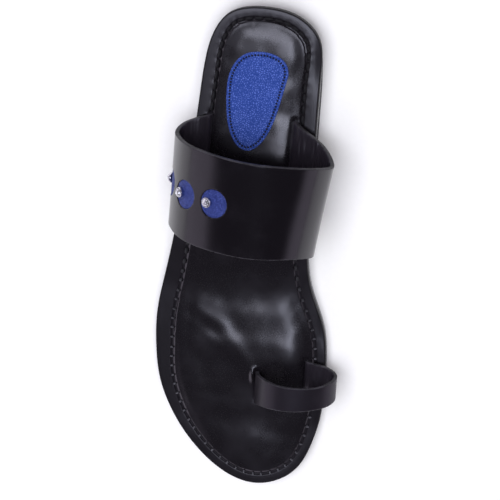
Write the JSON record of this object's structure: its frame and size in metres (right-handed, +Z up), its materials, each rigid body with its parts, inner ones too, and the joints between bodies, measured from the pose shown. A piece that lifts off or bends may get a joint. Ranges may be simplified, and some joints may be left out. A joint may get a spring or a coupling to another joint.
{
  "type": "leather slipper",
  "caption": "Flat leather slipper for the right foot, with a padded footbed, a wide instep band, a big-toe loop, round inlays with crystals and a teardrop heel patch.",
  "frame": {"origin": "on the floor under the middle of the heel, 45 mm from the back of the heel", "axes": "+Z up, +Y towards the toe, +X towards the outer side of the right foot"},
  "size_m": [0.1003, 0.26, 0.0616],
  "materials": {
    "sheet_rubber": "smooth semi-matt black sheet",
    "heel_rubber": "matt black with a fine wavy tread",
    "footbed_leather": "glossy black smooth leather",
    "strap_leather": "semi-gloss black smooth leather",
    "blue_leather": "fine pebbled blue leather, satin",
    "setting_metal": "polished silver",
    "crystal": "clear cut crystal"
  },
  "bodies": {
    "root": {"outsole": "sheet_rubber", "heel_lift": "heel_rubber", "insole": "footbed_leather", "instep_band": "strap_leather", "toe_loop": "strap_leather", "inlay_1": "blue_leather", "inlay_2": "blue_leather", "inlay_3": "blue_leather", "stud_cup_1": "setting_metal", "stud_cup_2": "setting_metal", "stud_cup_3": "setting_metal", "stud_stone_1": "crystal", "stud_stone_2": "crystal", "stud_stone_3": "crystal", "heel_patch": "blue_leather"}
  },
  "joints": []
}
